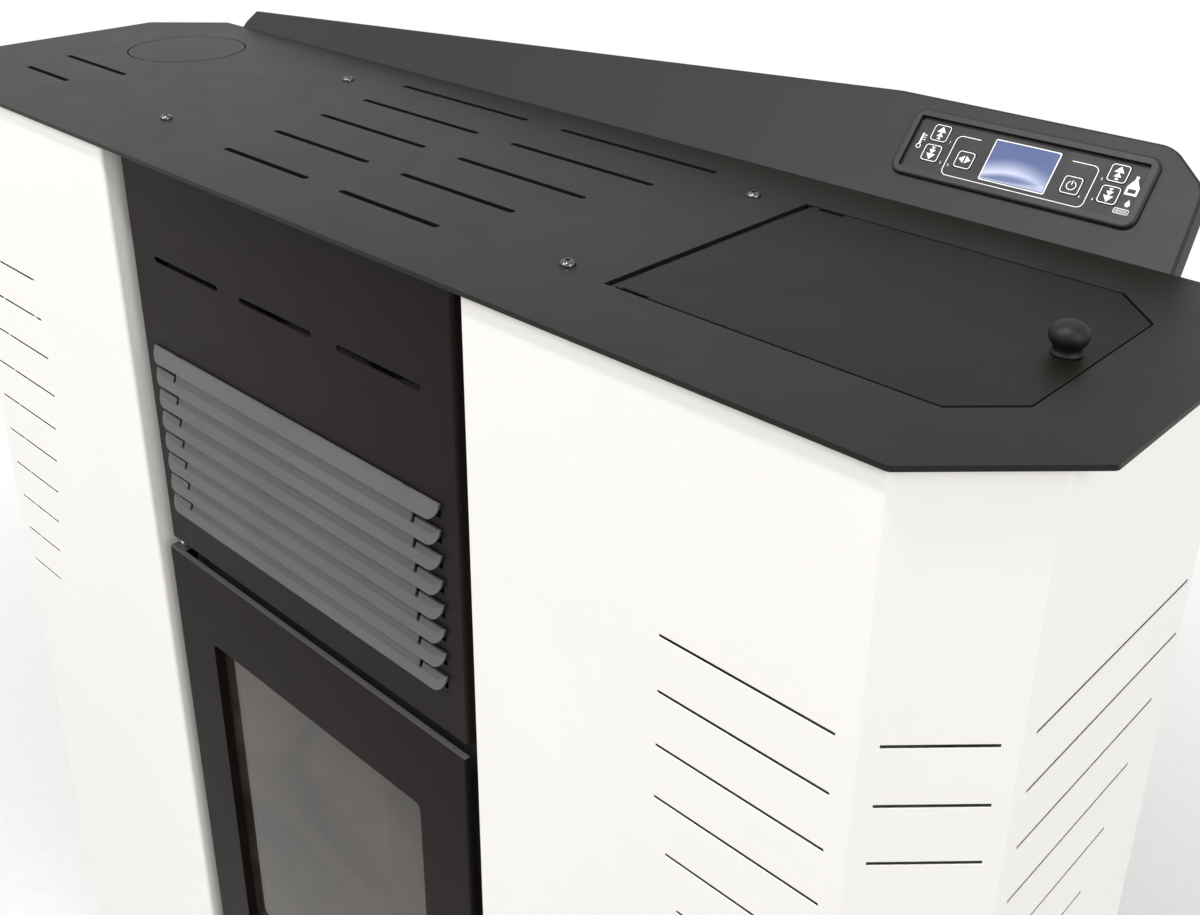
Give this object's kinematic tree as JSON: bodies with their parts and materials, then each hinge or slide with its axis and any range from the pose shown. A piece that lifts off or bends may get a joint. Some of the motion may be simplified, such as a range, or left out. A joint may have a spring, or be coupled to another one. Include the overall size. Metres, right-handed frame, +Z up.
{
  "type": "pellet stove",
  "caption": "Slim free-standing wood pellet stove with white bevelled side casings, glazed fire door, louvred air outlet, hinged hopper lid and a raised control console behind its top.",
  "frame": {"origin": "on the floor under the middle of the bounding box", "axes": "+X to the right seen from the front, +Y to the back, +Z up"},
  "size_m": [1.05, 0.374, 1.1159],
  "materials": {
    "cover_paint": "fine textured charcoal paint, satin",
    "panel_paint": "fine textured near-black brown paint, satin",
    "casing_paint": "smooth white paint, satin",
    "grille_paint": "mid grey metallic paint, satin",
    "console_paint": "fine textured charcoal paint, satin",
    "base_paint": "black paint, matt",
    "inner_steel": "zinc-plated sheet",
    "fire_steel": "black high-temperature paint, matt",
    "cast_iron": "as cast, dark grey",
    "insulation": "pressed vermiculite board, buff",
    "bright_steel": "turned steel, bright",
    "chrome": "polished",
    "knob_black": "black phenolic, polished",
    "bezel_black": "black, glossy",
    "key_black": "black, satin gloss, white legend",
    "display_glass": "tinted blue-violet liquid crystal window",
    "window_glass": "clear ceramic glass with a brown tint",
    "rope_seal": "braided glass-fibre rope",
    "rubber": "black, matt",
    "board": "green circuit board",
    "motor_case": "grey",
    "plastic_black": "black, matt"
  },
  "bodies": {
    "cabinet": {"top_cover": "cover_paint", "top_cover_screws": "chrome", "hopper": "inner_steel", "hopper_grille": "bright_steel", "auger_tube": "inner_steel", "auger_motor": "motor_case", "pellet_chute": "fire_steel", "left_side_casing": "casing_paint", "right_side_casing": "casing_paint", "base_plate": "base_paint", "levelling_feet": "rubber", "rear_panel": "inner_steel", "console_plate": "console_paint", "display_bezel": "bezel_black", "display_lens": "display_glass", "display_board": "board", "left_bay_wall": "inner_steel", "right_bay_wall": "inner_steel", "upper_front_panel": "panel_paint", "louvre_grille": "grille_paint", "lower_front_panel": "panel_paint", "door_hinge_brackets": "base_paint", "drawer_runners": "inner_steel", "firebox": "fire_steel", "firebox_linings": "cast_iron", "baffle": "insulation", "burn_pot_seat": "cast_iron", "igniter": "bright_steel", "combustion_air_box": "inner_steel", "heat_exchanger": "fire_steel", "room_air_duct": "inner_steel", "room_fan_motor": "motor_case", "smoke_housing": "inner_steel", "smoke_motor": "motor_case", "flue_tee": "fire_steel", "power_inlet": "plastic_black", "control_board": "board"},
    "lid": {"hopper_lid": "cover_paint", "lid_gasket": "rubber", "lid_knob": "knob_black"},
    "door": {"door_frame": "panel_paint", "door_hinge_pins": "chrome", "door_glass": "window_glass", "glass_clips": "bright_steel", "door_seal": "rope_seal"},
    "latch": {"latch_spindle": "bright_steel", "latch_knob": "knob_black"},
    "ash_drawer": {"drawer_front": "panel_paint", "ash_pan": "inner_steel"},
    "pot": {"burn_pot": "cast_iron"},
    "auger": {"auger_screw": "bright_steel"},
    "room_fan": {"room_fan_rotor": "bright_steel"},
    "smoke_fan": {"smoke_impeller": "bright_steel"},
    "rocker": {"switch_rocker": "plastic_black"},
    "key_left_up": {"key_left_up": "key_black"},
    "key_left_down": {"key_left_down": "key_black"},
    "key_set": {"key_set": "key_black"},
    "key_power": {"key_power": "key_black"},
    "key_right_up": {"key_right_up": "key_black"},
    "key_right_down": {"key_right_down": "key_black"}
  },
  "joints": [
    {"name": "lid_hinge", "type": "hinge", "parent": "cabinet", "child": "lid", "pos_m": [0.2495, -0.00921, 1.0545], "axis": [0, -1, 0], "range_deg": [0, 100]},
    {"name": "door_hinge", "type": "hinge", "parent": "cabinet", "child": "door", "pos_m": [-0.169, -0.14596, 0.5105], "axis": [0, 0, -1], "range_deg": [0, 110]},
    {"name": "latch_turn", "type": "hinge", "parent": "door", "child": "latch", "pos_m": [0.156, -0.15496, 0.425], "axis": [0, -1, 0], "range_deg": [0, 90]},
    {"name": "drawer_slide", "type": "slide", "parent": "cabinet", "child": "ash_drawer", "axis": [0, -1, 0], "range_m": [0, 0.17]},
    {"name": "burn_pot_lift", "type": "slide", "parent": "cabinet", "child": "pot", "axis": [0, 0, 1], "range_m": [0, 0.04]},
    {"name": "auger_spin", "type": "hinge", "parent": "cabinet", "child": "auger", "pos_m": [0.226, -0.02146, 0.61], "axis": [0.8829, 0, -0.4695], "continuous": true},
    {"name": "room_fan_spin", "type": "hinge", "parent": "cabinet", "child": "room_fan", "pos_m": [0, 0.08354, 0.098], "axis": [1, 0, 0], "continuous": true},
    {"name": "smoke_fan_spin", "type": "hinge", "parent": "cabinet", "child": "smoke_fan", "pos_m": [-0.26, -0.01146, 0.345], "axis": [1, 0, 0], "continuous": true},
    {"name": "rocker_tilt", "type": "hinge", "parent": "cabinet", "child": "rocker", "pos_m": [0.363, 0.12454, 0.12], "axis": [1, 0, 0], "range_deg": [0, 14]},
    {"name": "key_left_up_press", "type": "slide", "parent": "cabinet", "child": "key_left_up", "axis": [0, 0.7455, -0.6665], "range_m": [0, 0.0006], "stiffness_N_per_m": 400, "springref_m": -0.001},
    {"name": "key_left_down_press", "type": "slide", "parent": "cabinet", "child": "key_left_down", "axis": [0, 0.7455, -0.6665], "range_m": [0, 0.0006], "stiffness_N_per_m": 400, "springref_m": -0.001},
    {"name": "key_set_press", "type": "slide", "parent": "cabinet", "child": "key_set", "axis": [0, 0.7455, -0.6665], "range_m": [0, 0.0006], "stiffness_N_per_m": 400, "springref_m": -0.001},
    {"name": "key_power_press", "type": "slide", "parent": "cabinet", "child": "key_power", "axis": [0, 0.7455, -0.6665], "range_m": [0, 0.0006], "stiffness_N_per_m": 400, "springref_m": -0.001},
    {"name": "key_right_up_press", "type": "slide", "parent": "cabinet", "child": "key_right_up", "axis": [0, 0.7455, -0.6665], "range_m": [0, 0.0006], "stiffness_N_per_m": 400, "springref_m": -0.001},
    {"name": "key_right_down_press", "type": "slide", "parent": "cabinet", "child": "key_right_down", "axis": [0, 0.7455, -0.6665], "range_m": [0, 0.0006], "stiffness_N_per_m": 400, "springref_m": -0.001}
  ]
}
